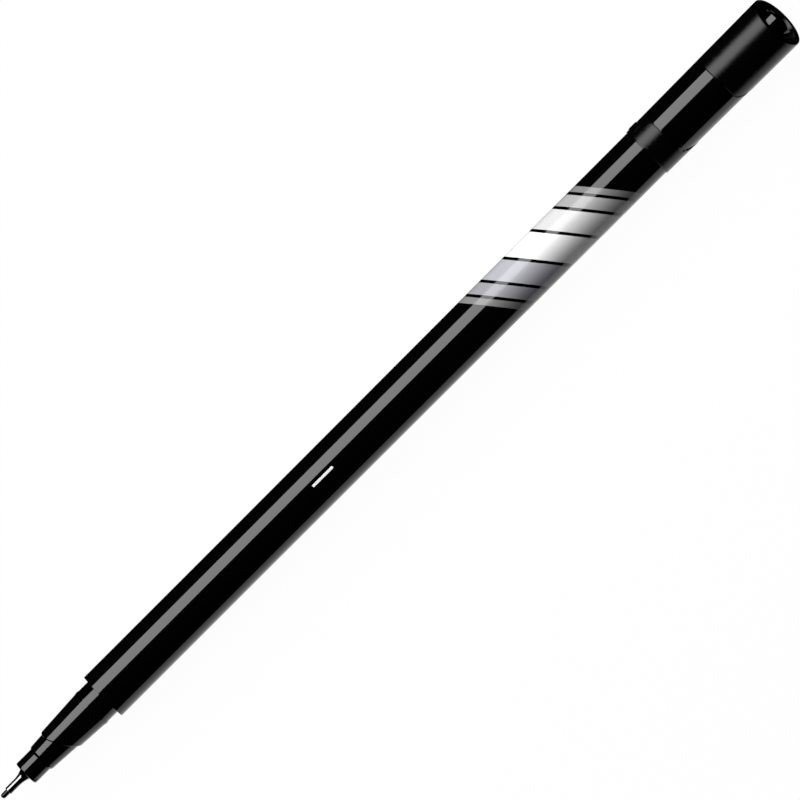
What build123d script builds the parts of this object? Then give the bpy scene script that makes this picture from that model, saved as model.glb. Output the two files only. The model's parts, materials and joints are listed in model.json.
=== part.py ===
"""Fineliner pen with its cap posted on the rear end, one solid for each piece.

The pen lies along X, nib towards -X, +Z up. The origin is on the axis, at the shoulder where the
front section meets the barrel. Lengths are in millimetres.
"""

import os

from build123d import *

# Clearances between pieces
PRESS_GAP = 0.02  # radial, pieces that are pushed together for good
NIB_GAP = 0.03  # around the writing rod
RIB_GAP = 0.03  # between the barrel's ribs and the wrapped reservoir
END_GAP = 0.2  # at both ends of the reservoir
CAP_GAP = 0.05  # radial, cap bore over the snap bead
SEAL_GAP = 0.05  # inner cap around the nose
POST_GAP = 0.02  # cap mouth in front of the barrel's rear face

# Ink reservoir
FIBRE_RADIUS = 2.60
FILM_THICKNESS = 0.06
NIB_DEPTH = 6.0  # of the nib's tail in the fibre

# Barrel
BARREL_LENGTH = 113.61
BARREL_WALL = 1.13
BARREL_DRAFT = 0.125  # growth of the outer radius from the grip land to the rear
BARREL_RIM = 0.12
GRIP_LAND_LENGTH = 30.0  # straight stretch behind the shoulder
RIB_HEIGHT = 0.14
RIB_WIDTH = 0.6
RIB_ROOT = 0.3  # depth of a rib's foot in the wall
RIB_COUNT = 6

# Front section, from the shoulder towards the nib
TAIL_LENGTH = 9.0  # pushed into the barrel
TAIL_WALL = 1.2
SHOULDER_STEP = 0.30  # of the seat over the tail
SEAT_LENGTH = 1.92
BEAD_LENGTH = 0.9
BEAD_HEIGHT = 0.08
COLLAR_LENGTH = 5.985  # from the bead to the middle of the slanted edge
COLLAR_FRONT_RADIUS = 2.80
COLLAR_LEAN = (1.0, 0.5, 0.344)  # the way the slanted edge's plane faces
COLLAR_EDGE = 0.16
CONE_LENGTH = 4.005  # from the slanted edge's middle to the step
CONE_DEPTH = 0.22  # of the cone under the collar at the bead
CONE_FRONT_RADIUS = 2.275
STEP_LENGTH = 0.37
NOSE_LENGTH = 3.02
NOSE_RADIUS = 2.035
NOSE_EDGE = 0.2
NIB_GUIDE_LENGTH = 6.0  # narrow passage behind the sleeve

# Steel sleeve and nib
SHANK_LENGTH = 5.0
SHANK_RADIUS = 0.85
FLARE_LENGTH = 1.79
FLARE_RADIUS = 1.075
SLEEVE_LENGTH = 1.84  # straight tube in front of the flare
SLEEVE_WALL = 0.17
SLEEVE_EDGE = 0.05
NIB_RADIUS = 0.42
NIB_REACH = 1.32  # out of the sleeve
NIB_POINT_LENGTH = 0.9
NIB_POINT_RADIUS = 0.12

# Rear plug
PLUG_LENGTH = 12.0  # pushed into the barrel
PLUG_WALL = 0.9
PLUG_END_WALL = 1.2
SPIGOT_LENGTH = 7.5
SPIGOT_CHAMFER = 0.5

# Cap
CAP_MOUTH_WALL = 1.0
CAP_END_WALL = 0.9
CAP_LEDGE = 0.32  # step in the bore that stops the inner cap's fins
CAP_LEAD = 0.25
CAP_RIM = 0.1
CAP_END_LEAN = (1.0, 0.0, 0.4)  # the way the slanted end faces
CAP_END_EDGE = 0.06  # broken inner edge of the slanted end
CAP_END_RIM = 0.18  # broken outer edge of the slanted end
CAP_END_SETBACK = 0.64  # of the end's middle behind the inner cap's end
CUP_WALL = 0.475
CUP_END_WALL = 1.0
CUP_CROWN_LENGTH = 0.62  # of the cone at the cup's closed end
CUP_FACE_RADIUS = 1.2  # of the flat face inside that cone
CUP_NIB_ROOM = 5.95  # in front of the nib when the pen is capped
CUP_OVERLAP = 3.0  # of the inner cap's mouth on the nose
FIN_COUNT = 4
FIN_WIDTH = 0.8
FIN_START_ANGLE = 45.0
FIN_SETBACK = 1.64  # of the fins behind the middle of the slanted end
PANEL_START = 3.72  # from the cap's mouth
PANEL_LENGTH = 11.03
PANEL_DEPTH = 0.04
PANEL_TURN_HEIGHT = 2.51  # above the axis, where the panel's edges start to slant
PANEL_RISE = 1.17  # slant on the -Y flank, towards the end
PANEL_RISE_END_HEIGHT = -1.5
PANEL_FALL = 0.92  # slant on the +Y flank, towards the mouth
PANEL_FALL_END_HEIGHT = 0.8
PANEL_CORNER = 1.2
LIP_START = 0.6  # low lip on the +Y side of the mouth
LIP_LENGTH = 1.5
LIP_HEIGHT = 0.125
LIP_SPREAD = 68.0

# Radii that follow, from the reservoir outwards
FILM_INNER_RADIUS = FIBRE_RADIUS + PRESS_GAP
FILM_RADIUS = FILM_INNER_RADIUS + FILM_THICKNESS
RIB_TIP_RADIUS = FILM_RADIUS + RIB_GAP
BORE_RADIUS = RIB_TIP_RADIUS + RIB_HEIGHT
BARREL_FRONT_RADIUS = BORE_RADIUS + BARREL_WALL
BARREL_REAR_RADIUS = BARREL_FRONT_RADIUS + BARREL_DRAFT
TAIL_RADIUS = BORE_RADIUS - PRESS_GAP
SEAT_RADIUS = TAIL_RADIUS + SHOULDER_STEP
BEAD_RADIUS = SEAT_RADIUS + BEAD_HEIGHT
CONE_REAR_RADIUS = SEAT_RADIUS - CONE_DEPTH
NIB_BORE_RADIUS = NIB_RADIUS + NIB_GAP
SLEEVE_RADIUS = NIB_BORE_RADIUS + SLEEVE_WALL
SOCKET_RADIUS = SHANK_RADIUS + PRESS_GAP
CAP_BORE_RADIUS = BEAD_RADIUS + CAP_GAP
CAP_REAR_BORE_RADIUS = CAP_BORE_RADIUS + CAP_LEDGE
CAP_MOUTH_RADIUS = CAP_BORE_RADIUS + CAP_MOUTH_WALL
CAP_END_RADIUS = CAP_REAR_BORE_RADIUS + CAP_END_WALL
CUP_INNER_RADIUS = NOSE_RADIUS + SEAL_GAP
CUP_RADIUS = CUP_INNER_RADIUS + CUP_WALL
FIN_RADIUS = CAP_REAR_BORE_RADIUS - PRESS_GAP

# Places along the axis that follow
BEAD_FRONT_X = -SEAT_LENGTH - BEAD_LENGTH
COLLAR_X = BEAD_FRONT_X - COLLAR_LENGTH
CONE_X = COLLAR_X - CONE_LENGTH
STEP_X = CONE_X - STEP_LENGTH
NOSE_X = STEP_X - NOSE_LENGTH
SOCKET_END_X = NOSE_X + SHANK_LENGTH
NIB_GUIDE_END_X = SOCKET_END_X + NIB_GUIDE_LENGTH
FLARE_X = NOSE_X - FLARE_LENGTH
SLEEVE_X = FLARE_X - SLEEVE_LENGTH
NIB_TIP_X = SLEEVE_X - NIB_REACH
FIBRE_FRONT_X = TAIL_LENGTH + END_GAP
PLUG_FRONT_X = BARREL_LENGTH - PLUG_LENGTH
FIBRE_REAR_X = PLUG_FRONT_X - END_GAP
NIB_TAIL_X = FIBRE_FRONT_X + NIB_DEPTH
SPIGOT_END_X = BARREL_LENGTH + SPIGOT_LENGTH
CAP_MOUTH_X = BARREL_LENGTH + POST_GAP
CUP_MOUTH_X = CAP_MOUTH_X - NOSE_X - CUP_OVERLAP
CUP_END_X = CAP_MOUTH_X - NIB_TIP_X + CUP_NIB_ROOM + CUP_END_WALL
CAP_END_X = CUP_END_X - CAP_END_SETBACK
FIN_END_X = CAP_END_X - FIN_SETBACK
PANEL_FRONT_X = CAP_MOUTH_X + PANEL_START
PANEL_REAR_X = PANEL_FRONT_X + PANEL_LENGTH

os.makedirs("parts", exist_ok=True)


def tapered(x, front, rear):
    """Radius at x on the straight taper through two (x, radius) points."""
    return front[1] + (rear[1] - front[1]) * (x - front[0]) / (rear[0] - front[0])


def finish(piece, name):
    """Labels a finished piece and writes its STEP file."""
    piece.part.label = name
    export_step(piece.part, f"parts/{name}.step")


# Barrel: drafted tube with a straight grip land, and low ribs that hold the reservoir off its wall
with BuildPart() as barrel:
    with BuildSketch():
        with BuildLine():
            Polyline(
                (0, BORE_RADIUS),
                (0, BARREL_FRONT_RADIUS),
                (GRIP_LAND_LENGTH, BARREL_FRONT_RADIUS),
                (BARREL_LENGTH, BARREL_REAR_RADIUS),
                (BARREL_LENGTH, BORE_RADIUS),
                close=True,
            )
        make_face()
    revolve(axis=Axis.X)
    end_rims = barrel.edges().filter_by(GeomType.CIRCLE).group_by(Axis.X)
    chamfer([end_rims[0].sort_by(SortBy.RADIUS)[-1], end_rims[-1].sort_by(SortBy.RADIUS)[-1]], BARREL_RIM)
    with BuildSketch(Plane.YZ.offset(FIBRE_FRONT_X)):
        rib_depth = RIB_HEIGHT + RIB_ROOT
        with PolarLocations(RIB_TIP_RADIUS + rib_depth / 2, RIB_COUNT):
            Rectangle(rib_depth, RIB_WIDTH)
    extrude(amount=FIBRE_REAR_X - FIBRE_FRONT_X)
finish(barrel, "barrel")

# Collar, bead, seat and tail of the front section, with the collar's front edge cut on the slant
with BuildPart() as collar:
    collar_front = (COLLAR_X, COLLAR_FRONT_RADIUS)
    collar_rear = (BEAD_FRONT_X, SEAT_RADIUS)
    uncut_x = COLLAR_X - COLLAR_FRONT_RADIUS
    with BuildSketch():
        with BuildLine():
            Polyline((uncut_x, 0), (uncut_x, tapered(uncut_x, collar_front, collar_rear)), collar_rear)
            ThreePointArc(
                collar_rear,
                (BEAD_FRONT_X + BEAD_LENGTH / 2, BEAD_RADIUS),
                (-SEAT_LENGTH, SEAT_RADIUS),
            )
            Polyline(
                (-SEAT_LENGTH, SEAT_RADIUS),
                (0, SEAT_RADIUS),
                (0, TAIL_RADIUS),
                (TAIL_LENGTH, TAIL_RADIUS),
                (TAIL_LENGTH, 0),
                (uncut_x, 0),
            )
        make_face()
    revolve(axis=Axis.X)
    split(bisect_by=Plane(origin=(COLLAR_X, 0, 0), z_dir=COLLAR_LEAN), keep=Keep.TOP)
    chamfer(collar.faces().sort_by(Axis.X)[0].edges(), COLLAR_EDGE)

# Front section: nose cylinder, step and cone, the slant-cut collar behind them, and the bores
with BuildPart() as grip_section:
    with BuildSketch():
        with BuildLine():
            Polyline(
                (NOSE_X, 0),
                (NOSE_X, NOSE_RADIUS),
                (STEP_X, NOSE_RADIUS),
                (CONE_X, CONE_FRONT_RADIUS),
                (BEAD_FRONT_X, CONE_REAR_RADIUS),
                (BEAD_FRONT_X, 0),
                close=True,
            )
        make_face()
    revolve(axis=Axis.X)
    chamfer(grip_section.faces().sort_by(Axis.X)[0].edges(), NOSE_EDGE)
    add(collar.part)
    with BuildSketch():
        with BuildLine():
            Polyline(
                (NOSE_X, 0),
                (NOSE_X, SOCKET_RADIUS),
                (SOCKET_END_X, SOCKET_RADIUS),
                (SOCKET_END_X, NIB_BORE_RADIUS),
                (NIB_GUIDE_END_X, NIB_BORE_RADIUS),
                (NIB_GUIDE_END_X, TAIL_RADIUS - TAIL_WALL),
                (TAIL_LENGTH, TAIL_RADIUS - TAIL_WALL),
                (TAIL_LENGTH, 0),
                close=True,
            )
        make_face()
    revolve(axis=Axis.X, mode=Mode.SUBTRACT)
finish(grip_section, "grip_section")

# Steel sleeve: straight tube that flares like a trumpet onto the nose, with a shank in the socket
with BuildPart() as nib_sleeve:
    with BuildSketch():
        with BuildLine():
            Polyline((SLEEVE_X, NIB_BORE_RADIUS), (SLEEVE_X, SLEEVE_RADIUS), (FLARE_X, SLEEVE_RADIUS))
            TangentArc((FLARE_X, SLEEVE_RADIUS), (NOSE_X, FLARE_RADIUS), tangent=(1, 0))
            Polyline(
                (NOSE_X, FLARE_RADIUS),
                (NOSE_X, SHANK_RADIUS),
                (SOCKET_END_X, SHANK_RADIUS),
                (SOCKET_END_X, NIB_BORE_RADIUS),
                (SLEEVE_X, NIB_BORE_RADIUS),
            )
        make_face()
    revolve(axis=Axis.X)
    sleeve_rims = nib_sleeve.edges().filter_by(GeomType.CIRCLE).group_by(Axis.X)[0]
    chamfer(sleeve_rims.sort_by(SortBy.RADIUS)[-1], SLEEVE_EDGE)
finish(nib_sleeve, "nib_sleeve")

# Nib: rod with a domed writing end and a pointed tail in the fibre
with BuildPart() as nib:
    with BuildSketch():
        with BuildLine():
            CenterArc((NIB_TIP_X + NIB_RADIUS, 0), NIB_RADIUS, 90, 90)
            Polyline(
                (NIB_TIP_X + NIB_RADIUS, NIB_RADIUS),
                (NIB_TAIL_X - NIB_POINT_LENGTH, NIB_RADIUS),
                (NIB_TAIL_X, NIB_POINT_RADIUS),
                (NIB_TAIL_X, 0),
                (NIB_TIP_X, 0),
            )
        make_face()
    revolve(axis=Axis.X)
finish(nib, "nib")

# Ink reservoir: fibre rod with the hole that the nib's tail makes in it
with BuildPart() as ink_reservoir:
    with BuildSketch(Plane.YZ.offset(FIBRE_FRONT_X)):
        Circle(FIBRE_RADIUS)
    extrude(amount=FIBRE_REAR_X - FIBRE_FRONT_X)
    with BuildSketch(Plane.YZ.offset(FIBRE_FRONT_X)):
        Circle(NIB_BORE_RADIUS)
    extrude(amount=NIB_DEPTH + NIB_GAP, mode=Mode.SUBTRACT)
finish(ink_reservoir, "ink_reservoir")

# Film wrapped around the fibre
with BuildPart() as reservoir_film:
    with BuildSketch(Plane.YZ.offset(FIBRE_FRONT_X)):
        Circle(FILM_RADIUS)
        Circle(FILM_INNER_RADIUS, mode=Mode.SUBTRACT)
    extrude(amount=FIBRE_REAR_X - FIBRE_FRONT_X)
finish(reservoir_film, "reservoir_film")

# Rear plug: hollow insert in the barrel and a closed spigot with the same seat and bead as the front
with BuildPart() as rear_plug:
    seat_rear_x = BARREL_LENGTH + SEAT_LENGTH
    bead_rear_x = seat_rear_x + BEAD_LENGTH
    with BuildSketch():
        with BuildLine():
            Polyline(
                (PLUG_FRONT_X, TAIL_RADIUS - PLUG_WALL),
                (PLUG_FRONT_X, TAIL_RADIUS),
                (BARREL_LENGTH, TAIL_RADIUS),
                (BARREL_LENGTH, SEAT_RADIUS),
                (seat_rear_x, SEAT_RADIUS),
            )
            ThreePointArc(
                (seat_rear_x, SEAT_RADIUS),
                (seat_rear_x + BEAD_LENGTH / 2, BEAD_RADIUS),
                (bead_rear_x, SEAT_RADIUS),
            )
            Polyline(
                (bead_rear_x, SEAT_RADIUS),
                (SPIGOT_END_X - SPIGOT_CHAMFER, SEAT_RADIUS),
                (SPIGOT_END_X, SEAT_RADIUS - SPIGOT_CHAMFER),
                (SPIGOT_END_X, 0),
                (SPIGOT_END_X - PLUG_END_WALL, 0),
                (SPIGOT_END_X - PLUG_END_WALL, TAIL_RADIUS - PLUG_WALL),
                (PLUG_FRONT_X, TAIL_RADIUS - PLUG_WALL),
            )
        make_face()
    revolve(axis=Axis.X)
finish(rear_plug, "rear_plug")

# Skin of the cap's outside that the gloss panel takes away: square across the front, slanting back
# towards the end on the -Y flank and towards the mouth on the +Y flank
with BuildPart() as panel_recess:
    cap_mouth = (CAP_MOUTH_X, CAP_MOUTH_RADIUS)
    cap_end = (CAP_END_X, CAP_END_RADIUS)
    panel_floor = [(x, tapered(x, cap_mouth, cap_end) - PANEL_DEPTH) for x in (CAP_MOUTH_X, CAP_END_X)]
    with BuildSketch():
        with BuildLine():
            Polyline(
                panel_floor[0],
                panel_floor[1],
                (CAP_END_X, CAP_END_RADIUS + CAP_END_WALL),
                (CAP_MOUTH_X, CAP_END_RADIUS + CAP_END_WALL),
                close=True,
            )
        make_face()
    revolve(axis=Axis.X)
    panel_halves = []
    flanks = ((1, PANEL_RISE, PANEL_RISE_END_HEIGHT), (-1, -PANEL_FALL, PANEL_FALL_END_HEIGHT))
    for side, slant, end_height in flanks:
        drift = slant * (PANEL_TURN_HEIGHT - end_height)
        with BuildSketch(Plane.XZ) as panel_outline:
            with BuildLine():
                Polyline(
                    (PANEL_FRONT_X, 2 * CAP_END_RADIUS),
                    (PANEL_REAR_X, 2 * CAP_END_RADIUS),
                    (PANEL_REAR_X, PANEL_TURN_HEIGHT),
                    (PANEL_REAR_X + drift, end_height),
                    (PANEL_FRONT_X + drift, end_height),
                    (PANEL_FRONT_X, PANEL_TURN_HEIGHT),
                    close=True,
                )
            make_face()
            fillet(panel_outline.vertices().group_by(Axis.Y)[1], PANEL_CORNER)
        panel_halves.append(extrude(amount=side * 2 * CAP_END_RADIUS, mode=Mode.PRIVATE))
    add(panel_halves, mode=Mode.INTERSECT)

# Cap shell: drafted tube, open at both ends, its end cut on the slant
with BuildPart() as cap_shell:
    uncut_end_x = CAP_END_X + CAP_END_RADIUS
    with BuildSketch():
        with BuildLine():
            Polyline(
                (CAP_MOUTH_X, CAP_BORE_RADIUS + CAP_LEAD),
                cap_mouth,
                (uncut_end_x, tapered(uncut_end_x, cap_mouth, cap_end)),
                (uncut_end_x, CAP_REAR_BORE_RADIUS),
                (CUP_MOUTH_X, CAP_REAR_BORE_RADIUS),
                (CUP_MOUTH_X, CAP_BORE_RADIUS),
                (CAP_MOUTH_X + CAP_LEAD, CAP_BORE_RADIUS),
                close=True,
            )
        make_face()
    revolve(axis=Axis.X)
    chamfer(cap_shell.faces().sort_by(Axis.X)[0].edges().sort_by(SortBy.RADIUS)[-1], CAP_RIM)
    split(bisect_by=Plane(origin=(CAP_END_X, 0, 0), z_dir=CAP_END_LEAN), keep=Keep.BOTTOM)
    end_edges = cap_shell.faces().sort_by(Axis.X)[-1].edges()
    chamfer(end_edges.sort_by(SortBy.LENGTH)[0], CAP_END_EDGE)
    end_edges = cap_shell.faces().sort_by(Axis.X)[-1].edges()
    chamfer(end_edges.sort_by(SortBy.LENGTH)[-1], CAP_END_RIM)
    add(panel_recess.part, mode=Mode.SUBTRACT)
    lip_front_x = CAP_MOUTH_X + LIP_START
    lip_rear_x = lip_front_x + LIP_LENGTH
    with BuildSketch(Plane.XY.rotated((-LIP_SPREAD / 2, 0, 0))):
        with BuildLine():
            Polyline(
                (lip_front_x, CAP_BORE_RADIUS + CAP_LEAD),
                (lip_front_x, tapered(lip_front_x, cap_mouth, cap_end) + LIP_HEIGHT),
                (lip_rear_x, tapered(lip_rear_x, cap_mouth, cap_end) + LIP_HEIGHT),
                (lip_rear_x, CAP_BORE_RADIUS + CAP_LEAD),
                close=True,
            )
        make_face()
    revolve(axis=Axis.X, revolution_arc=LIP_SPREAD)
finish(cap_shell, "cap_shell")

# Inner cap: closed cup that seals on the nose, with fins that leave air channels to the open end
with BuildPart() as inner_cap:
    with BuildSketch():
        with BuildLine():
            Polyline(
                (CUP_MOUTH_X, CUP_INNER_RADIUS),
                (CUP_MOUTH_X, CUP_RADIUS),
                (CUP_END_X - CUP_CROWN_LENGTH, CUP_RADIUS),
                (CUP_END_X, CUP_FACE_RADIUS),
                (CUP_END_X, 0),
                (CUP_END_X - CUP_END_WALL, 0),
                (CUP_END_X - CUP_END_WALL, CUP_INNER_RADIUS),
                close=True,
            )
        make_face()
    revolve(axis=Axis.X)
    with BuildSketch(Plane.YZ.offset(CUP_MOUTH_X)):
        fin_foot_radius = CUP_RADIUS - CUP_WALL / 2
        with PolarLocations((fin_foot_radius + FIN_RADIUS) / 2, FIN_COUNT, FIN_START_ANGLE):
            Rectangle(FIN_RADIUS - fin_foot_radius, FIN_WIDTH)
    extrude(amount=FIN_END_X - CUP_MOUTH_X)
finish(inner_cap, "inner_cap")
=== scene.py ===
"""Looks of the fineliner pen: turned skins, moulded and metal finishes, printed hoops and a table.

The pen lies along X with its nib towards -X and is seen from straight above. Sizes are in millimetres,
and MM turns them into metres where a mesh, a shader or a light takes them.
"""

import json
import math

import bpy
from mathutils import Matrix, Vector


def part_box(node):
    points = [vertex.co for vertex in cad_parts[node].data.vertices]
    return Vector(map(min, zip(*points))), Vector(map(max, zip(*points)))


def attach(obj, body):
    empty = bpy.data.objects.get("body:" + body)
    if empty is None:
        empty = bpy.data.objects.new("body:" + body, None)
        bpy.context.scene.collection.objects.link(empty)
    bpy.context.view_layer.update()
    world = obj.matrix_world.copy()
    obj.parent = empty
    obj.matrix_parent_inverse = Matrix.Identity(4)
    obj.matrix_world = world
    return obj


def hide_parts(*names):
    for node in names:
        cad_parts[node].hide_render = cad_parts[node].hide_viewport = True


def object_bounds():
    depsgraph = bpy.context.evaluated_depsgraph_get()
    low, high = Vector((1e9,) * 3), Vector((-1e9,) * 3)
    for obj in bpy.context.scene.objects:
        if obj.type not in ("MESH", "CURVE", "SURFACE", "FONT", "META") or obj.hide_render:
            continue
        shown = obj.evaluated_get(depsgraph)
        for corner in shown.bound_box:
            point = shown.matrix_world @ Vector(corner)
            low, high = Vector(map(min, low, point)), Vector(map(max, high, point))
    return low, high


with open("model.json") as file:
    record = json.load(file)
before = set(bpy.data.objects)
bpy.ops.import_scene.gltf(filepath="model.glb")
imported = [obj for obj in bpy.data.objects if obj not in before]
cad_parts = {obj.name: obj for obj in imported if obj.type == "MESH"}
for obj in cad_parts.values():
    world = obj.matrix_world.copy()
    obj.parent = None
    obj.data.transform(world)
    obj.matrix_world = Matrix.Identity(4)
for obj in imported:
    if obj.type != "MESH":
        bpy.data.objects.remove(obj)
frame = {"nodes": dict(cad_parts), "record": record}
cad_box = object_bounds()

MM = 0.001
COLUMNS = 240  # of a turned skin
EASE_STEPS = 4  # of a rounded edge
FLARE_STEPS = 12  # of the sleeve's flare
DOME_STEPS = 12  # of the nib's writing end
PANEL_STEPS = 8  # along the cap's panel
SHARP_ANGLE = math.radians(30.0)
ROUNDING = 1e-9  # allowed where angles are compared

# Sizes of the pieces, the same as in the solids
BORE_RADIUS = 2.85
TAIL_RADIUS = 2.83
TAIL_HOLLOW_RADIUS = 1.63
SEAT_RADIUS = 3.13
SEAT_LENGTH = 1.92
BEAD_RADIUS = 3.21
BEAD_LENGTH = 0.9
COLLAR_FRONT_RADIUS = 2.80
COLLAR_X = -8.805
COLLAR_LEAN_Y = 0.5
COLLAR_LEAN_Z = 0.344
CONE_FRONT_RADIUS = 2.275
CONE_REAR_RADIUS = 2.91
CONE_X = -12.81
STEP_X = -13.18
NOSE_RADIUS = 2.035
SOCKET_RADIUS = 0.87
NIB_GUIDE_END_X = -5.2
SHANK_RADIUS = 0.85
FLARE_RADIUS = 1.075
FLARE_X = -17.99
SLEEVE_RADIUS = 0.62
NIB_BORE_RADIUS = 0.45
NIB_RADIUS = 0.42
NIB_POINT_LENGTH = 0.9
NIB_POINT_RADIUS = 0.12
CAP_MOUTH_RADIUS = 4.26
CAP_END_RADIUS = 4.48
CAP_BORE_RADIUS = 3.26
CAP_LEAD = 0.25
CAP_REAR_BORE_RADIUS = 3.58
CAP_END_LEAN = 0.4
CAP_END_SETBACK = 0.64  # of the slanted end's middle from the inner cap's end
PANEL_START = 3.72
PANEL_LENGTH = 11.03
PANEL_TURN_HEIGHT = 2.51
PANEL_TURN_SOFTNESS = 0.5
PANEL_RISE = 1.17  # of the front edge along the -Y flank, for each unit of height
PANEL_RISE_END_HEIGHT = -1.5
PANEL_FALL = 0.92  # of both edges along the +Y flank
LIP_START = 0.6
LIP_LENGTH = 1.5
LIP_HEIGHT = 0.125
LIP_SPREAD = math.radians(68.0)

# Panel of the cap where it leaves the plainer one of the solids
PANEL_REAR_RISE = 0.9  # of the rear edge along the -Y flank
PANEL_FALL_END_HEIGHT = 1.08  # keeps the front edge clear of the lip
PANEL_DEPTH = 0.03  # of the floor on top
PANEL_SHIFT = 0.02  # of the floor towards +Y

# Roundings of the edges
CRISP_EASE = 0.03
COLLAR_EASE = 0.25
NOSE_EASE = 0.35
BEAD_EASE = 0.2
TAIL_EASE = 0.12
SLEEVE_EASE = 0.06
CAP_MOUTH_EASE = 0.13
CAP_END_EASE = 0.1  # inner edge of the slanted end
CAP_RIM_EASE = 0.28  # its outer edge
PANEL_EASE = 0.06  # width over which the panel's sides and the lip's edges rise

# Fine grooves at the two edges of the panel
FRONT_BROW = 0.185  # reach of the front groove off the panel's front edge
FRONT_FOOT = 0.11  # of its bottom
FRONT_KNEE = 0.045  # of the knee in its inner wall
FRONT_FLOOR = 0.055  # of that wall onto the panel
FRONT_GROOVE = 0.07  # depth below the panel's floor
FRONT_KNEE_DEPTH = 0.033
FRONT_SPREAD = 0.38  # growth of the reach along the slanted edge on the -Y flank
REAR_BROW = 0.17  # reach of the rear groove off the panel's rear edge
REAR_FOOT = 0.085
REAR_GROOVE = 0.05
REAR_SPREAD = 0.4
GROOVE_GROWTH = 0.22  # of both grooves' depth along the slanted edge
GROWTH_REACH = 1.2  # of that edge, past which the grooves stay alike

# Print on the barrel: start along the axis, width, grey and tint of each slanted hoop
PLAIN = (1.0, 1.0, 1.0)
LAVENDER = (0.97, 0.97, 1.06)
HOOPS = [
    (81.5, 1.2, 0.20, PLAIN),
    (83.3, 2.4, 0.30, LAVENDER),
    (86.3, 4.2, 0.40, LAVENDER),
    (91.1, 5.2, 0.80, PLAIN),
    (96.9, 4.2, 0.60, PLAIN),
    (101.7, 2.4, 0.36, PLAIN),
    (104.7, 1.2, 0.20, PLAIN),
]
HOOP_LEAN = 0.8
HOOP_END = 107.0
HOOP_FADE_AND_SHADE_START_Y = 0.5  # the ink darkens from here towards -Y, partly as it thins and partly as painted shade on the side away from the strip light
HOOP_FADE_AND_SHADE_END_Y = -3.9
HOOP_FADED_AND_SHADED_LEVEL = 0.25
MARK_X = 46.0  # short dash as wide as the pen's stroke
MARK_HALF_LENGTH = 1.9
MARK_HALF_WIDTH = 0.2
MARK_LEVEL = 0.8

# Finishes: roughness from the smoothest to the roughest, and depth of relief in metres
NOISE_SPAN = (0.3, 0.7)  # holds most values of a noise
UNIT_SPAN = (0.0, 1.0)
GLOSS_ROUGHNESS = 0.05
GLOSS_SPREAD = 0.02
GLOSS_RELIEF = 2e-6
HAIRLINE_CUT = (0.68, 0.74)  # noise over which a handling line comes up
PATCH_CUT = (0.5, 0.62)  # noise over which a patch of such lines comes up
HAIRLINE_ROUGHNESS = 0.05  # added by a line
PINHOLE_CUT = (0.24, 0.30)  # noise over which a pinhole of the print closes
PINHOLE_INK = 0.55  # left in a pinhole
INK_SPAN = (0.2, 0.8)
INK_ROUGHNESS = (0.16, 0.26)
INK_HEIGHT = 3.0  # of the print, in depths of the gloss relief
MATT_GRAIN = 15000.0  # features for each metre
MATT_ROUGHNESS = (0.12, 0.16)
MATT_RELIEF = 1.2e-5
MATT_REFLECTION = 0.31
PIT_SOFTNESS = 0.6
PIT_SHARE = 0.6  # of the pits in the matt relief, beside the grain
STEEL_ROUGHNESS = (0.01, 0.03)
STEEL_RELIEF = 1e-7
STEEL_TURN = (0.15, 0.4)  # turn away from the eye over which the steel's colour lifts to full, partly its stronger reflection at grazing angles and partly painted shade face-on that dims the strip light's highlight
STEEL_FACE_ON_SHADE = (0.42, 1.0)
NIB_WET = (-0.2, 0.3)  # reach over which the wet end dries, about the foot of its dome
NIB_ROUGHNESS = (0.015, 0.03)
NIB_LINE_ROUGHNESS = 0.02  # added by the drawn lines
NIB_RELIEF = 2e-7
NIB_REFLECTION = 0.36
FIBRE_ROUGHNESS = (0.55, 0.8)
FIBRE_RELIEF = 3e-5
FILM_ROUGHNESS = (0.22, 0.36)
FILM_RELIEF = 1e-5

# Camera over the pen, and the photograph's frame in the plane of the axis
PICTURE_WIDTH = 118.3
CAMERA_HEIGHT = 1283.0
PICTURE_CENTRE = (62.04, -0.068)
PICTURE_TURN = math.radians(-45.0)
SENSOR_WIDTH = 36.0

# Table under the pen, and the black cards that lie on it
TABLE_REACH = 600.0  # along X from the picture's centre, and towards +Y
TABLE_FRONT_Y = -135.0
TABLE_WHITE = 0.975  # share of plain white to the camera, where the rest takes the pen's shadow
TABLE_DIM_Y = (-120.0, -10.0)  # reach over which its reflection grows brighter towards the pen
TABLE_DIM = (-0.34, -0.03)  # what the reflection lacks there
CARD_GAP = 0.3  # between the cap and the card beside it
CARD_LIFT = 0.05  # of the cards off the table
NIB_CARD = ((-16.3, -9.0), (-42.0, TABLE_FRONT_Y))  # edge of the card off the nib's end
CAP_CARD = ((142.9, -3.0), (151.0, TABLE_FRONT_Y))  # edge of the card off the cap's end

barrel_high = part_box("barrel")[1]
section_low, section_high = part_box("grip_section")
sleeve_low, sleeve_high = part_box("nib_sleeve")
nib_low, nib_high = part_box("nib")
cap_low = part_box("cap_shell")[0]
cup_low, cup_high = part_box("inner_cap")
BARREL_END_X = barrel_high.x / MM
BARREL_REAR_RADIUS = barrel_high.z / MM
GRIP = frame["record"]["mounts"][0]["dims"]
NOSE_X = section_low.x / MM
TAIL_END_X = section_high.x / MM
SLEEVE_X = sleeve_low.x / MM
SOCKET_END_X = sleeve_high.x / MM
NIB_TIP_X = nib_low.x / MM
NIB_END_X = nib_high.x / MM
CAP_MOUTH_X = cap_low.x / MM
CAP_LEDGE_X = cup_low.x / MM
CAP_END_X = cup_high.x / MM - CAP_END_SETBACK
FLOOR_Z = cad_box[0][2] / MM


def ease_corner(before, corner, after, ease):
    """Points of a rounded corner of a profile."""
    corner_point = Vector(corner)
    start = corner_point + (Vector(before) - corner_point).normalized() * ease
    end = corner_point + (Vector(after) - corner_point).normalized() * ease
    points = []
    for step in range(EASE_STEPS + 1):
        t = step / EASE_STEPS
        points.append(tuple(start.lerp(corner_point, t).lerp(corner_point.lerp(end, t), t)))
    return points


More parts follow.
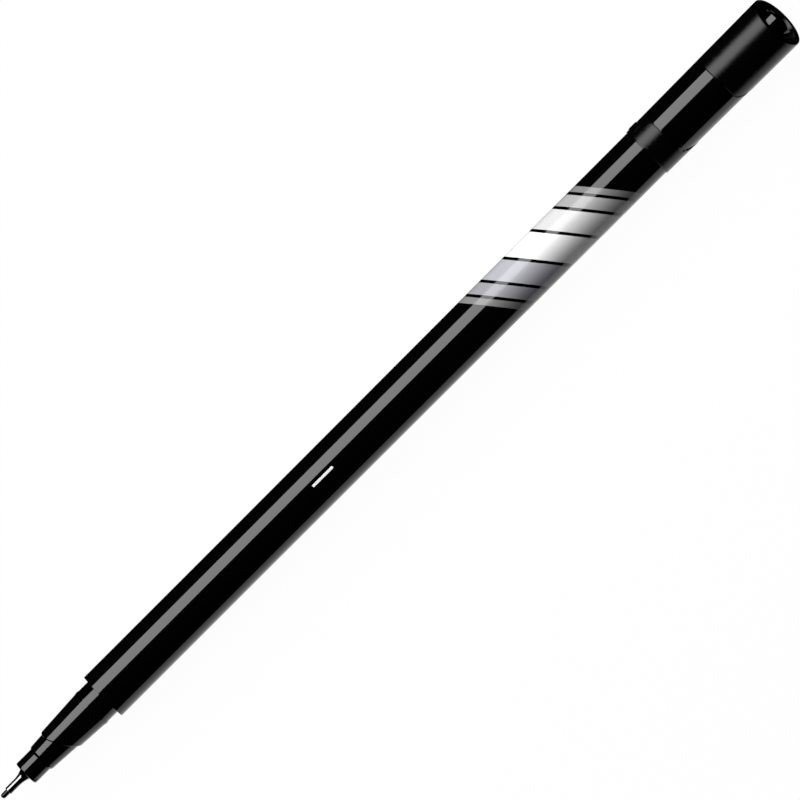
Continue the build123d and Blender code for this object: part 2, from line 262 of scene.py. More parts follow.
def eased(profile):
    """Profile of (x, radius) points, with the corners that carry a third number rounded by it."""
    rows = []
    for place, point in enumerate(profile):
        if len(point) == 2:
            rows.append(point)
        else:
            before = profile[place - 1][:2]
            after = profile[(place + 1) % len(profile)][:2]
            rows += ease_corner(before, point[:2], after, point[2])
    return rows


def tapered(x, front, rear):
    """Radius at x on the straight taper through two (x, radius) points."""
    return front[1] + (rear[1] - front[1]) * (x - front[0]) / (rear[0] - front[0])


def slanted_cut(front, rear, plane_x, lean):
    """Point of a taper on a plane that crosses the axis at plane_x and runs forward by lean for each
    unit of radius."""
    slope = (rear[1] - front[1]) / (rear[0] - front[0])
    x = plane_x - tapered(plane_x, front, rear) * lean / (1 + slope * lean)
    return x, tapered(x, front, rear)


def outline_rows(outline):
    """Rows for the points of an outline that changes with the angle."""

    def row_at(place):
        return lambda angle: outline(angle)[place]

    return [row_at(place) for place in range(len(outline(0.0)))]


def turned(name, rows, columns=None, hard_rows=()):
    """Closed mesh of rings around X, or of a rod whose first and last row have no radius. A row is
    (x, radius), or a function of the angle from +Y that gives it. Rows named by number in hard_rows
    keep a hard edge."""
    angles = columns or [math.tau * i / COLUMNS for i in range(COLUMNS)]
    vertices = []
    rings = []
    for row in rows:
        points = [row(angle) if callable(row) else row for angle in angles]
        if points[0][1] == 0:
            rings.append([len(vertices)] * len(angles))
            vertices.append((points[0][0] * MM, 0, 0))
        else:
            rings.append(range(len(vertices), len(vertices) + len(angles)))
            for (x, radius), angle in zip(points, angles):
                y = radius * MM * math.cos(angle)
                z = radius * MM * math.sin(angle)
                vertices.append((x * MM, y, z))
    following = rings[1:] if rings[0][0] == rings[0][-1] else rings[1:] + rings[:1]
    faces = []
    for near, far in zip(rings, following):
        for i in range(len(angles)):
            j = (i + 1) % len(angles)
            faces.append(tuple(dict.fromkeys((near[i], near[j], far[j], far[i]))))
    mesh = bpy.data.meshes.new(name)
    mesh.from_pydata(vertices, [], faces)
    mesh.validate()
    mesh.shade_smooth()
    mesh.set_sharp_from_angle(angle=SHARP_ANGLE)
    hard_ring = {vertex: row for row in hard_rows for vertex in rings[row]}
    for edge in mesh.edges:
        near_row, far_row = (hard_ring.get(vertex) for vertex in edge.vertices)
        if near_row is not None and near_row == far_row:
            edge.use_edge_sharp = True
    piece = bpy.data.objects.new(name, mesh)
    bpy.context.scene.collection.objects.link(piece)
    straight = piece.modifiers.new("straight_runs", "WEIGHTED_NORMAL")
    straight.weight = 100
    straight.keep_sharp = True
    return piece


def stand_for(piece, node, body):
    """The piece rides on the body in the node's place, and the node is hidden."""
    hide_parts(node)
    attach(piece, body)


# Barrel


def barrel_tube():
    """Tube with a straight grip land, then a slight draft to the rear."""
    land_radius = GRIP["r_mm"]
    land_end = GRIP["length_mm"]
    rows = eased(
        [
            (0, BORE_RADIUS),
            (0, land_radius, CRISP_EASE),
            (land_end, land_radius),
            (BARREL_END_X, BARREL_REAR_RADIUS, CRISP_EASE),
            (BARREL_END_X, BORE_RADIUS),
        ]
    )
    piece = turned("barrel_tube", rows)
    stand_for(piece, "barrel", "pen")
    return piece


# Front section


def front_section():
    """Nose, step, cone, slant-cut collar, snap bead, seat and tail, with the bores inside."""
    bead_front = -SEAT_LENGTH - BEAD_LENGTH
    cone_front = (CONE_X, CONE_FRONT_RADIUS)
    cone_rear = (bead_front, CONE_REAR_RADIUS)
    collar_front = (COLLAR_X, COLLAR_FRONT_RADIUS)
    collar_rear = (bead_front, SEAT_RADIUS)

    def collar_edge(angle):
        """Outline of the slanted edge at an angle, from its foot on the cone over its eased corner."""
        lean = COLLAR_LEAN_Y * math.cos(angle) + COLLAR_LEAN_Z * math.sin(angle)
        x, radius = slanted_cut(collar_front, collar_rear, COLLAR_X, lean)
        foot = (x, tapered(x, cone_front, cone_rear))
        return eased([foot, (x, radius, COLLAR_EASE), collar_rear])[:-1]

    rows = eased(
        [
            (NOSE_X, SOCKET_RADIUS),
            (NOSE_X, NOSE_RADIUS, NOSE_EASE),
            (STEP_X, NOSE_RADIUS, CRISP_EASE),
            (*cone_front, CRISP_EASE),
            cone_rear,
        ]
    )[:-1]
    rows += outline_rows(collar_edge)
    bead_peak = SEAT_RADIUS + (BEAD_RADIUS - SEAT_RADIUS) / (1 - BEAD_EASE / BEAD_LENGTH)
    rows += eased(
        [
            collar_rear,
            (bead_front + BEAD_LENGTH / 2, bead_peak, BEAD_EASE),
            (-SEAT_LENGTH, SEAT_RADIUS),
            (0, SEAT_RADIUS),
            (0, TAIL_RADIUS),
            (TAIL_END_X, TAIL_RADIUS, TAIL_EASE),
            (TAIL_END_X, TAIL_HOLLOW_RADIUS),
            (NIB_GUIDE_END_X, TAIL_HOLLOW_RADIUS),
            (NIB_GUIDE_END_X, NIB_BORE_RADIUS),
            (SOCKET_END_X, NIB_BORE_RADIUS),
            (SOCKET_END_X, SOCKET_RADIUS),
        ]
    )
    piece = turned("front_section", rows)
    stand_for(piece, "grip_section", "pen")
    return piece


# Steel sleeve and nib


def steel_sleeve():
    """Straight tube with an eased lip, flaring like a trumpet onto the nose, and its shank."""
    rise = FLARE_RADIUS - SLEEVE_RADIUS
    run = NOSE_X - FLARE_X
    bend = (run * run + rise * rise) / (2 * rise)
    flare = []
    for step in range(FLARE_STEPS):
        x = run * step / FLARE_STEPS
        flare.append((FLARE_X + x, SLEEVE_RADIUS + bend - math.sqrt(bend * bend - x * x)))
    lip = (SLEEVE_X, SLEEVE_RADIUS, SLEEVE_EASE)
    rows = eased([(SLEEVE_X, NIB_BORE_RADIUS), lip, flare[0]])[:-1]
    rows += flare
    rows += [
        (NOSE_X, FLARE_RADIUS),
        (NOSE_X, SHANK_RADIUS),
        (SOCKET_END_X, SHANK_RADIUS),
        (SOCKET_END_X, NIB_BORE_RADIUS),
    ]
    piece = turned("steel_sleeve", rows)
    stand_for(piece, "nib_sleeve", "pen")
    return piece


def writing_nib():
    """Rod with a domed writing end and a pointed tail."""
    rows = [(NIB_TIP_X, 0)]
    for step in range(1, DOME_STEPS + 1):
        turn = math.pi / 2 * step / DOME_STEPS
        rows.append((NIB_TIP_X + NIB_RADIUS * (1 - math.cos(turn)), NIB_RADIUS * math.sin(turn)))
    rows += [
        (NIB_END_X - NIB_POINT_LENGTH, NIB_RADIUS),
        (NIB_END_X, NIB_POINT_RADIUS),
        (NIB_END_X, 0),
    ]
    piece = turned("writing_nib", rows)
    stand_for(piece, "nib", "pen")
    return piece


# Cap


def panel_sides():
    """Angles from +Y where the panel ends on the -Y flank and on the +Y flank."""
    rise_end = math.pi - math.asin(PANEL_RISE_END_HEIGHT / CAP_MOUTH_RADIUS)
    fall_end = math.asin(PANEL_FALL_END_HEIGHT / CAP_MOUTH_RADIUS)
    return rise_end, fall_end


def panel_drift(share, angle):
    """How far a line at a share of the panel's length runs along the axis at an angle from +Y: towards
    the end on the -Y flank, towards the mouth on the +Y flank, and back again behind."""
    rise_end, fall_end = panel_sides()
    if fall_end <= angle <= rise_end:
        depth = PANEL_TURN_HEIGHT - CAP_MOUTH_RADIUS * math.sin(angle)
        slide = (depth + math.hypot(depth, PANEL_TURN_SOFTNESS)) / 2
        rise = PANEL_RISE + (PANEL_REAR_RISE - PANEL_RISE) * share
        return slide * (rise if angle > math.pi / 2 else -PANEL_FALL)
    behind = (angle - rise_end) % math.tau / (fall_end + math.tau - rise_end)
    smooth = behind * behind * (3 - 2 * behind)
    return panel_drift(share, rise_end) * (1 - smooth) + panel_drift(share, fall_end) * smooth


def panel_x(share, angle):
    """Place along the axis at a share of the panel's length."""
    return CAP_MOUTH_X + PANEL_START + PANEL_LENGTH * share + panel_drift(share, angle)


def groove_growth(share, angle):
    """How far a groove has grown along the slanted edge on the -Y flank."""
    return min(max(panel_drift(share, angle), 0.0), GROWTH_REACH)


def cap_columns():
    """Angles of the cap's columns, with a close pair at each side of the panel and of the lip."""
    columns = {math.tau * i / COLUMNS for i in range(COLUMNS)}
    pair = PANEL_EASE / CAP_MOUTH_RADIUS
    rise_end, fall_end = panel_sides()
    for inside, outside in (
        (rise_end, rise_end + pair),
        (fall_end, fall_end - pair),
        (LIP_SPREAD / 2, LIP_SPREAD / 2 + pair),
        (-LIP_SPREAD / 2, -LIP_SPREAD / 2 - pair),
    ):
        columns.add(inside % math.tau)
        columns.add(outside % math.tau)
    return sorted(columns)


def panel_depth(angle):
    """Depth of the panel's floor at an angle from +Y."""
    return PANEL_DEPTH - PANEL_SHIFT * math.cos(angle)


def in_panel(angle):
    """Whether a column lies on the panel."""
    rise_end, fall_end = panel_sides()
    return fall_end - ROUNDING <= angle <= rise_end + ROUNDING


def on_lip(angle):
    """Whether a column lies on the lip of the mouth."""
    return abs((angle + math.pi) % math.tau - math.pi) <= LIP_SPREAD / 2 + ROUNDING


def cap_tube():
    """Drafted tube with the low lip, the sunk panel and the slanted open end."""
    mouth = (CAP_MOUTH_X, CAP_MOUTH_RADIUS)
    end = (CAP_END_X, CAP_END_RADIUS)

    def lip_row(along, raised):
        """Row at a distance along the cap, on top of the lip where it is raised."""
        x = CAP_MOUTH_X + along

        def row(angle):
            return x, tapered(x, mouth, end) + (LIP_HEIGHT if raised and on_lip(angle) else 0)

        return row

    def panel_row(share, offset=0.0, spread=0.0, groove=0.0, growth=0.0, sunk=True):
        """Row at a share of the panel's length, moved by an offset that spreads on the -Y flank: on
        the floor or in the groove below it where it is sunk, and otherwise on the tube."""

        def row(angle):
            grown = groove_growth(share, angle)
            x = panel_x(share, angle) + offset + spread * grown
            depth = panel_depth(angle) + groove + growth * grown
            return x, tapered(x, mouth, end) - (depth if sunk and in_panel(angle) else 0)

        return row

    def end_outline(angle):
        """Outline of the slanted end at an angle, over the rim and round its eased inner edge."""
        lean = CAP_END_LEAN * math.sin(angle)
        outer = slanted_cut(mouth, end, CAP_END_X, lean)
        inner = (CAP_END_X - CAP_REAR_BORE_RADIUS * lean, CAP_REAR_BORE_RADIUS)
        ledge = (CAP_LEDGE_X, CAP_REAR_BORE_RADIUS)
        return eased([mouth, (*outer, CAP_RIM_EASE), (*inner, CAP_END_EASE), ledge])[1:-1]

    front_groove = [
        panel_row(0, -FRONT_BROW, -FRONT_SPREAD, sunk=False),
        panel_row(0, -FRONT_FOOT, groove=FRONT_GROOVE, growth=GROOVE_GROWTH),
        panel_row(0, -FRONT_KNEE, groove=FRONT_KNEE_DEPTH),
        panel_row(0, FRONT_FLOOR),
    ]
    floor = [panel_row(step / PANEL_STEPS) for step in range(1, PANEL_STEPS)]
    rear_groove = [
        panel_row(1),
        panel_row(1, REAR_FOOT, REAR_SPREAD / 2, REAR_GROOVE, GROOVE_GROWTH),
        panel_row(1, REAR_BROW, REAR_SPREAD, sunk=False),
    ]
    lip_end = LIP_START + LIP_LENGTH
    lead = (CAP_MOUTH_X, CAP_BORE_RADIUS + CAP_LEAD)
    rows = eased([lead, (*mouth, CAP_MOUTH_EASE), end])[:-1]
    rows += [
        lip_row(LIP_START - PANEL_EASE, False),
        lip_row(LIP_START, True),
        lip_row(lip_end, True),
        lip_row(lip_end + PANEL_EASE, False),
    ]
    front_edge = len(rows)
    rows += front_groove + floor + rear_groove
    rear_edge = len(rows) - len(rear_groove)
    hard_rows = [
        *range(front_edge, front_edge + len(front_groove)),
        *range(rear_edge, len(rows)),
    ]
    rows += outline_rows(end_outline)
    rows += [
        (CAP_LEDGE_X, CAP_REAR_BORE_RADIUS),
        (CAP_LEDGE_X, CAP_BORE_RADIUS),
        (CAP_MOUTH_X + CAP_LEAD, CAP_BORE_RADIUS),
    ]
    piece = turned("cap_tube", rows, cap_columns(), hard_rows)
    stand_for(piece, "cap_shell", "cap")
    return piece


def polish_cap(cap):
    """Gives the cap's second material to the panel with its front groove and to the mouth's rim."""
    for face in cap.data.polygons:
        x, y, z = face.center / MM
        angle = math.atan2(z, y) % math.tau
        on_rim = x < CAP_MOUTH_X + CAP_MOUTH_EASE
        brow_x = panel_x(0, angle) - FRONT_BROW - FRONT_SPREAD * groove_growth(0, angle)
        on_panel = in_panel(angle) and brow_x < x < panel_x(1, angle)
        outside = math.hypot(y, z) > (CAP_MOUTH_RADIUS + CAP_BORE_RADIUS) / 2
        face.material_index = int(outside and (on_rim or on_panel))


# Shader helpers


def add_node(tree, kind, **settings):
    """New node of a tree with its settings."""
    node = tree.nodes.new(kind)
    for key, value in settings.items():
        setattr(node, key, value)
    return node


def feed_socket(tree, socket, value):
    """Sets a socket to a value, or links another socket to it."""
    if isinstance(value, bpy.types.NodeSocket):
        tree.links.new(value, socket)
    else:
        socket.default_value = value


def feed(tree, node, **inputs):
    """Feeds a node's inputs, by socket name with underscores for spaces."""
    for key, value in inputs.items():
        feed_socket(tree, node.inputs[key.replace("_", " ")], value)


def math_node(tree, operation, *values):
    """Output of a Math node."""
    node = add_node(tree, "ShaderNodeMath", operation=operation)
    for socket, value in zip(node.inputs, values):
        feed_socket(tree, socket, value)
    return node.outputs[0]


def map_range(tree, value, span, result=UNIT_SPAN, smooth=False):
    """Output of a Map Range node that takes a span of the value to a span of the result."""
    shape = "SMOOTHSTEP" if smooth else "LINEAR"
    node = add_node(tree, "ShaderNodeMapRange", interpolation_type=shape)
    feed(tree, node, Value=value, From_Min=span[0], From_Max=span[1])
    feed(tree, node, To_Min=result[0], To_Max=result[1])
    return node.outputs["Result"]


def mix_colour(tree, factor, first, second, blend="MIX"):
    """Output of a colour Mix node, whose colours are its sockets 6 and 7."""
    node = add_node(tree, "ShaderNodeMix", data_type="RGBA", blend_type=blend)
    sockets = (node.inputs["Factor"], node.inputs[6], node.inputs[7])
    for socket, value in zip(sockets, (factor, first, second)):
        feed_socket(tree, socket, value)
    return node.outputs[2]


def mix_value(tree, factor, first, second):
    """Output of a value Mix node, whose values are its sockets 2 and 3."""
    node = add_node(tree, "ShaderNodeMix", data_type="FLOAT")
    sockets = (node.inputs["Factor"], node.inputs[2], node.inputs[3])
    for socket, value in zip(sockets, (factor, first, second)):
        feed_socket(tree, socket, value)
    return node.outputs[0]


def grey(level, tint=PLAIN):
    """Opaque colour of a grey level, tinted."""
    return tuple(level * part for part in tint) + (1,)


def new_group(name, inputs, outputs):
    """Shader node group with float inputs {name: default} and outputs {name: socket type}."""
    group = bpy.data.node_groups.new(name, "ShaderNodeTree")
    for key, default in inputs.items():
        socket = group.interface.new_socket(key, in_out="INPUT", socket_type="NodeSocketFloat")
        socket.default_value = default
    for key, kind in outputs.items():
        group.interface.new_socket(key, in_out="OUTPUT", socket_type=kind)
    return group, add_node(group, "NodeGroupInput"), add_node(group, "NodeGroupOutput")


def own_place(tree):
    """Place on the piece, in metres along X, Y and Z."""
    place = add_node(tree, "ShaderNodeTexCoord")
    parts = add_node(tree, "ShaderNodeSeparateXYZ")
    tree.links.new(place.outputs["Object"], parts.inputs["Vector"])
    return parts.outputs


def stretched_noise(tree, scale, stretch=1.0, detail=3.0):
    """Noise in the piece's own place, with scale in features for each metre, drawn out along X by
    stretch."""
    place = add_node(tree, "ShaderNodeTexCoord")
    squeeze = add_node(tree, "ShaderNodeMapping")
    feed(tree, squeeze, Vector=place.outputs["Object"], Scale=(1 / stretch, 1, 1))
    noise = add_node(tree, "ShaderNodeTexNoise")
    feed(tree, noise, Vector=squeeze.outputs["Vector"], Scale=scale, Detail=detail)
    return noise.outputs["Fac"]


def moulding_group():
    """Moulded plastic: slow flow shading along the pen, a faint swell and handling hairlines."""
    group, given, result = new_group(
        "Moulded Flow",
        {"Gloss Roughness": GLOSS_ROUGHNESS, "Roughness Spread": GLOSS_SPREAD},
        {"Shade": "NodeSocketFloat", "Roughness": "NodeSocketFloat", "Swell": "NodeSocketFloat"},
    )
    flow = stretched_noise(group, scale=180.0, stretch=9.0)
    cloud = stretched_noise(group, scale=420.0, detail=2.0)
    hairline = stretched_noise(group, scale=2600.0, stretch=40.0, detail=1.0)
    scratch = map_range(group, hairline, HAIRLINE_CUT)
    patch = map_range(group, cloud, PATCH_CUT, smooth=True)
    worn = math_node(group, "MULTIPLY", scratch, patch)
    spread = math_node(group, "MULTIPLY", flow, given.outputs["Roughness Spread"])
    smooth_part = math_node(group, "ADD", given.outputs["Gloss Roughness"], spread)
    rough = math_node(group, "MULTIPLY_ADD", worn, HAIRLINE_ROUGHNESS, smooth_part)
    feed(group, result, Shade=flow, Roughness=rough, Swell=cloud)
    return group


def new_material(name):
    """Material with its node tree and Principled shader."""
    material = bpy.data.materials.new(name)
    material.use_nodes = True
    tree = material.node_tree
    return material, tree, tree.nodes["Principled BSDF"]


def bump(tree, height, distance):
    """Normal from a height, with the relief's depth in metres."""
    node = add_node(tree, "ShaderNodeBump")
    feed(tree, node, Height=height, Distance=distance)
    return node.outputs["Normal"]


# Finishes

BLACK = grey(0.0003)
BLACK_FLOW = grey(0.0009, tint=(1.0, 1.0, 1.06))


def gloss_black(moulding):
    """Polished black polypropylene."""
    material, tree, shader = new_material("polished_black")
    mould = add_node(tree, "ShaderNodeGroup", node_tree=moulding)
    colour = mix_colour(tree, mould.outputs["Shade"], BLACK, BLACK_FLOW)
    normal = bump(tree, mould.outputs["Swell"], GLOSS_RELIEF)
    feed(tree, shader, Base_Color=colour, Roughness=mould.outputs["Roughness"], Normal=normal)
    return material


def hoop_ink(tree, place):
    """Colour and coverage of the slanted hoops, darker towards -Y, partly as the ink thins and partly
    as painted shade on the side away from the strip light.
    """
    along = math_node(tree, "MULTIPLY_ADD", place["Y"], HOOP_LEAN, place["X"])
    start = HOOPS[0][0]
    ramp = add_node(tree, "ShaderNodeValToRGB")
    ramp.color_ramp.interpolation = "CONSTANT"
    stops = ramp.color_ramp.elements
    bare = (0, 0, 0, 0)
    stops[0].color = bare
    stops[1].color = bare
    for hoop_start, width, level, tint in HOOPS:
        first = (hoop_start - start) / (HOOP_END - start)
        last = (hoop_start + width - start) / (HOOP_END - start)
        stop = stops.new(first) if first > 0 else stops[0]
        stop.color = grey(level, tint)
        stops.new(last).color = bare
    share = map_range(tree, along, (start * MM, HOOP_END * MM))
    feed(tree, ramp, Fac=share)
    printed = math_node(tree, "GREATER_THAN", along, start * MM)
    cover = math_node(tree, "MULTIPLY", ramp.outputs["Alpha"], printed)
    # painted shade: the ink darkens towards -Y, away from the strip light, partly also as it thins
    ink_fade_and_shade = map_range(tree, place["Y"], (HOOP_FADE_AND_SHADE_END_Y * MM, HOOP_FADE_AND_SHADE_START_Y * MM), (HOOP_FADED_AND_SHADED_LEVEL, 1.0))
    return mix_colour(tree, 1.0, ramp.outputs["Color"], ink_fade_and_shade, "MULTIPLY"), cover


def dash_cover(tree, place):
    """Coverage of the one short dash on the upper side, with round ends."""
    off_middle = math_node(tree, "ABSOLUTE", math_node(tree, "SUBTRACT", place["X"], MARK_X * MM))
    beyond = math_node(tree, "SUBTRACT", off_middle, MARK_HALF_LENGTH * MM)
    past = math_node(tree, "MAXIMUM", beyond, 0.0)
    along = math_node(tree, "MULTIPLY", past, past)
    across = math_node(tree, "MULTIPLY", place["Y"], place["Y"])
    reach = math_node(tree, "SQRT", math_node(tree, "ADD", along, across))
    dash = math_node(tree, "LESS_THAN", reach, MARK_HALF_WIDTH * MM)
    return math_node(tree, "MULTIPLY", dash, math_node(tree, "GREATER_THAN", place["Z"], 0.0))


def barrel_finish(moulding):
    """Polished black with pale ink screened on it."""
    material, tree, shader = new_material("barrel_black_printed")
    mould = add_node(tree, "ShaderNodeGroup", node_tree=moulding)
    place = own_place(tree)
    hoop_colour, hoops = hoop_ink(tree, place)
    dash = dash_cover(tree, place)
    ink = mix_colour(tree, dash, hoop_colour, grey(MARK_LEVEL))
    speckle = stretched_noise(tree, scale=7000.0, detail=1.0)
    solid_ink = map_range(tree, speckle, PINHOLE_CUT, (PINHOLE_INK, 1.0))
    cover = math_node(tree, "MULTIPLY", math_node(tree, "MAXIMUM", hoops, dash), solid_ink)
    plastic = mix_colour(tree, mould.outputs["Shade"], BLACK, BLACK_FLOW)
    colour = mix_colour(tree, cover, plastic, ink)
    ink_rough = map_range(tree, speckle, INK_SPAN, INK_ROUGHNESS)
    rough = mix_value(tree, cover, mould.outputs["Roughness"], ink_rough)
    relief = math_node(tree, "MULTIPLY_ADD", cover, INK_HEIGHT, mould.outputs["Swell"])
    normal = bump(tree, relief, GLOSS_RELIEF)
    feed(tree, shader, Base_Color=colour, Roughness=rough, Normal=normal)
    return material


def matt_black():
    """Black polypropylene with the fine pitted grain of a spark-eroded mould."""
    material, tree, shader = new_material("matt_black")
    place = add_node(tree, "ShaderNodeTexCoord")
    pits = add_node(tree, "ShaderNodeTexVoronoi", feature="SMOOTH_F1")
    feed(tree, pits, Vector=place.outputs["Object"], Scale=MATT_GRAIN, Smoothness=PIT_SOFTNESS)
    grain = stretched_noise(tree, scale=MATT_GRAIN)
    height = math_node(tree, "MULTIPLY_ADD", pits.outputs["Distance"], PIT_SHARE, grain)
    colour = mix_colour(tree, grain, grey(0.0004), grey(0.0011))
    rough = map_range(tree, grain, NOISE_SPAN, MATT_ROUGHNESS)
    normal = bump(tree, height, MATT_RELIEF)
    feed(tree, shader, Base_Color=colour, Roughness=rough, Normal=normal)
    feed(tree, shader, Specular_IOR_Level=MATT_REFLECTION)
    return material


def steel_finish():
    """Bright drawn steel with lines along the tube, darker where it faces the eye: partly its stronger
    reflection at grazing angles, partly painted shade that dims the strip light's highlight.
    """
    material, tree, shader = new_material("drawn_steel")
    lines = stretched_noise(tree, scale=5200.0, stretch=30.0, detail=2.0)
    cloud = stretched_noise(tree, scale=900.0, stretch=3.0, detail=2.0)
    dull = grey(0.52, tint=(1.0, 0.995, 0.985))
    bright = grey(0.6, tint=(1.0, 0.998, 0.99))
    tone = mix_colour(tree, cloud, dull, bright)
    turned_away = add_node(tree, "ShaderNodeLayerWeight").outputs["Facing"]
    # painted shade: face-on steel is darkened to dim the strip light's highlight, beyond its own
    # stronger reflection at grazing angles
    face_on_gloss_and_shade = map_range(tree, turned_away, STEEL_TURN, STEEL_FACE_ON_SHADE)
    colour = mix_colour(tree, 1.0, tone, face_on_gloss_and_shade, "MULTIPLY")
    rough = map_range(tree, lines, NOISE_SPAN, STEEL_ROUGHNESS)
    normal = bump(tree, lines, STEEL_RELIEF)
    feed(tree, shader, Base_Color=colour, Roughness=rough, Normal=normal, Metallic=1.0)
    return material


def nib_finish():
    """Extruded acetal stained by black ink, wet at the writing end."""
    material, tree, shader = new_material("inked_acetal")
    lines = stretched_noise(tree, scale=6500.0, stretch=25.0, detail=2.0)
    place = own_place(tree)
    dome_foot = NIB_TIP_X + NIB_RADIUS
    drying = [(dome_foot + reach) * MM for reach in NIB_WET]
    wet = map_range(tree, place["X"], drying, NIB_ROUGHNESS, smooth=True)
    rough = math_node(tree, "MULTIPLY_ADD", lines, NIB_LINE_ROUGHNESS, wet)
    colour = mix_colour(tree, lines, grey(0.0008), grey(0.0024, tint=(1.0, 1.0, 1.1)))
    normal = bump(tree, lines, NIB_RELIEF)
    feed(tree, shader, Base_Color=colour, Roughness=rough, Normal=normal)
    feed(tree, shader, Specular_IOR_Level=NIB_REFLECTION)
    return material


def fibre_finish():
    """Polyester fibre soaked with black ink."""
    material, tree, shader = new_material("inked_fibre")
    strands = stretched_noise(tree, scale=4200.0, stretch=60.0, detail=4.0)
    colour = mix_colour(tree, strands, grey(0.01), grey(0.07, tint=(1.0, 1.0, 1.08)))
    rough = map_range(tree, strands, NOISE_SPAN, FIBRE_ROUGHNESS)
    normal = bump(tree, strands, FIBRE_RELIEF)
    feed(tree, shader, Base_Color=colour, Roughness=rough, Normal=normal)
    return material


def film_finish():
    """Thin milky wrap with faint creases along it."""
    material, tree, shader = new_material("milky_film")
    creases = stretched_noise(tree, scale=1500.0, stretch=12.0)
    colour = mix_colour(tree, creases, grey(0.72), grey(0.86, tint=(0.98, 0.99, 1.0)))
    rough = map_range(tree, creases, NOISE_SPAN, FILM_ROUGHNESS)
    normal = bump(tree, creases, FILM_RELIEF)
    feed(tree, shader, Base_Color=colour, Roughness=rough, Normal=normal)
    return material


def dress(piece, *materials):
    """The piece wears the materials, in the order of its faces' material numbers."""
    piece.data.materials.clear()
    for material in materials:
        piece.data.materials.append(material)


# Stage


def flat_sheet(name, corners, z):
    """Flat sheet at a height, with its (x, y) corners in millimetres."""
    mesh = bpy.data.meshes.new(name)
    mesh.from_pydata([(x * MM, y * MM, z * MM) for x, y in corners], [], [range(len(corners))])
    sheet = bpy.data.objects.new(name, mesh)
    bpy.context.scene.collection.objects.link(sheet)
    return sheet


def table_finish():
    """White table: plain white to the camera, with the pen's soft shadow kept, and a little dimmer in
    reflections away from the pen."""
    material, tree, shader = new_material("white_table")
    tooth = stretched_noise(tree, scale=300.0)
    colour = mix_colour(tree, tooth, grey(0.84), grey(0.88))
    feed(tree, shader, Base_Color=colour, Roughness=0.9)
    glow = add_node(tree, "ShaderNodeEmission")
    ray = add_node(tree, "ShaderNodeLightPath").outputs
    reflected = math_node(tree, "MAXIMUM", ray["Is Glossy Ray"], ray["Is Transmission Ray"])
    seen = math_node(tree, "MULTIPLY", ray["Is Camera Ray"], TABLE_WHITE)
    dim_reach = [y * MM for y in TABLE_DIM_Y]
    dimmed = map_range(tree, own_place(tree)["Y"], dim_reach, TABLE_DIM)
    strength = math_node(tree, "MULTIPLY_ADD", reflected, dimmed, 1.0)
    feed(tree, glow, Color=grey(1.0), Strength=strength)
    blend = add_node(tree, "ShaderNodeMixShader")
    feed(tree, blend, Fac=math_node(tree, "MAXIMUM", seen, reflected))
    tree.links.new(shader.outputs["BSDF"], blend.inputs[1])
    tree.links.new(glow.outputs["Emission"], blend.inputs[2])
    tree.links.new(blend.outputs["Shader"], tree.nodes["Material Output"].inputs["Surface"])
    return material


def card_finish():
    """Black card of the studio."""
    material, tree, shader = new_material("black_card")
    feed(tree, shader, Base_Color=grey(0.0), Roughness=1.0, Specular_IOR_Level=0.0)
    return material


def black_card(name, corners, finish):
    """Black card lying on the table that only reflections show."""
    card = flat_sheet(name, corners, FLOOR_Z + CARD_LIFT)
    dress(card, finish)
    card.visible_camera = False
    card.visible_diffuse = False
    card.visible_shadow = False


def studio():
    """White table with black cards beside the pen and off its ends, and a white surround."""
    left = PICTURE_CENTRE[0] - TABLE_REACH
    right = PICTURE_CENTRE[0] + TABLE_REACH
    front = TABLE_FRONT_Y
    back = TABLE_REACH
    beside = CAP_END_RADIUS + CARD_GAP
    table = flat_sheet("table", [(left, front), (right, front), (right, back), (left, back)], FLOOR_Z)
    dress(table, table_finish())
    card = card_finish()
    near, far = NIB_CARD
    under_nib = [(left, 0), (near[0], 0), (near[0], beside), (right, beside)]
    black_card("card_beside", [*under_nib, (right, back), (left, back)], card)
    black_card("card_off_nib", [(left, front), far, near, (left, near[1])], card)
    near, far = CAP_CARD
    off_cap = [far, (right, front), (right, beside), (near[0], beside), near]
    black_card("card_off_cap", off_cap, card)
    world = bpy.data.worlds.new("white_surround")
    world.use_nodes = True
    tree = world.node_tree
    path = add_node(tree, "ShaderNodeLightPath")
    feed(tree, tree.nodes["Background"], Color=grey(1.0), Strength=path.outputs["Is Camera Ray"])
    bpy.context.scene.world = world


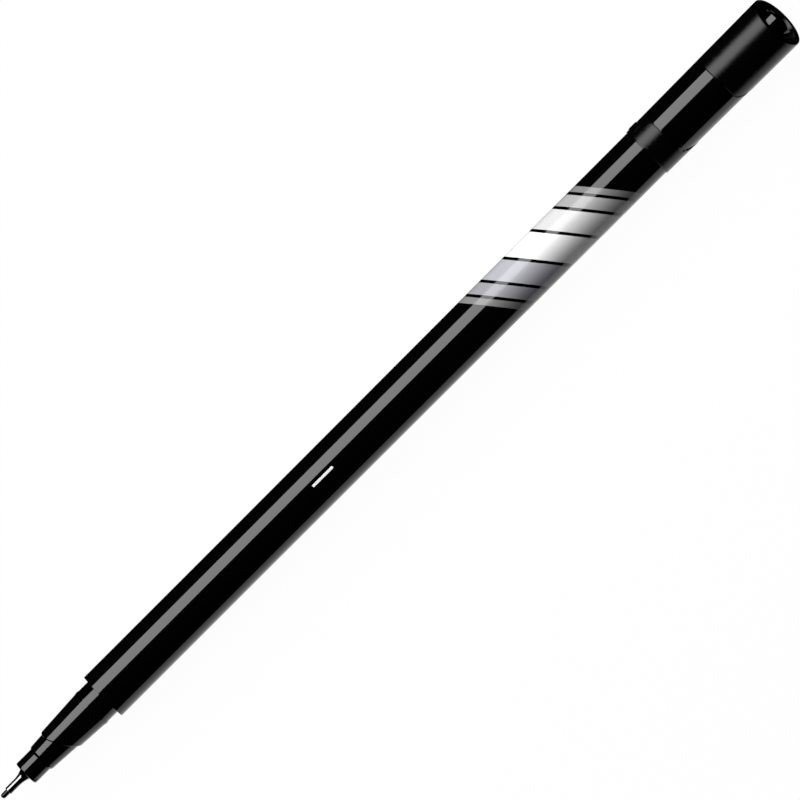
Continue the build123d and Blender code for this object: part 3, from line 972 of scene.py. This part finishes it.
def area_light(name, x, angle, yaw, distance, width, length, radiance, in_reflections):
    """Rectangle of light over the pen at an angle from straight up towards +Y, facing the pen and
    turned in its own plane by yaw."""
    lamp = bpy.data.lights.new(name, "AREA")
    lamp.shape = "RECTANGLE"
    lamp.size = length * MM
    lamp.size_y = width * MM
    lamp.energy = radiance * math.pi * lamp.size * lamp.size_y
    light = bpy.data.objects.new(name, lamp)
    light.location = (x * MM, distance * MM * math.sin(angle), distance * MM * math.cos(angle))
    light.rotation_mode = "ZYX"
    light.rotation_euler = (-angle, 0, yaw)
    light.visible_camera = False
    light.visible_glossy = in_reflections
    bpy.context.scene.collection.objects.link(light)


def camera_over_pen():
    """Camera straight above the pen, turned so that the pen runs from lower left to upper right."""
    data = bpy.data.cameras.new("camera")
    data.sensor_width = SENSOR_WIDTH
    data.lens = SENSOR_WIDTH * CAMERA_HEIGHT / PICTURE_WIDTH
    camera = bpy.data.objects.new("camera", data)
    camera.location = (PICTURE_CENTRE[0] * MM, PICTURE_CENTRE[1] * MM, CAMERA_HEIGHT * MM)
    camera.rotation_euler = (0, 0, PICTURE_TURN)
    bpy.context.scene.collection.objects.link(camera)
    bpy.context.scene.camera = camera


moulding = moulding_group()
polished = gloss_black(moulding)
dress(barrel_tube(), barrel_finish(moulding))
dress(front_section(), polished)
dress(steel_sleeve(), steel_finish())
dress(writing_nib(), nib_finish())
cap = cap_tube()
dress(cap, matt_black(), polished)
polish_cap(cap)
dress(frame["nodes"]["inner_cap"], polished)
dress(frame["nodes"]["rear_plug"], polished)
dress(frame["nodes"]["ink_reservoir"], fibre_finish())
dress(frame["nodes"]["reservoir_film"], film_finish())

studio()
area_light(
    "strip",
    x=-11.5,
    angle=math.radians(44.6),
    yaw=math.radians(3.0),
    distance=500.0,
    width=400.0,
    length=747.0,
    radiance=5.0,
    in_reflections=True,
)
area_light(
    "soft_top",
    x=PICTURE_CENTRE[0],
    angle=0.0,
    yaw=0.0,
    distance=900.0,
    width=1200.0,
    length=1200.0,
    radiance=0.55,
    in_reflections=False,
)
camera_over_pen()
bpy.context.scene.view_settings.view_transform = "Standard"
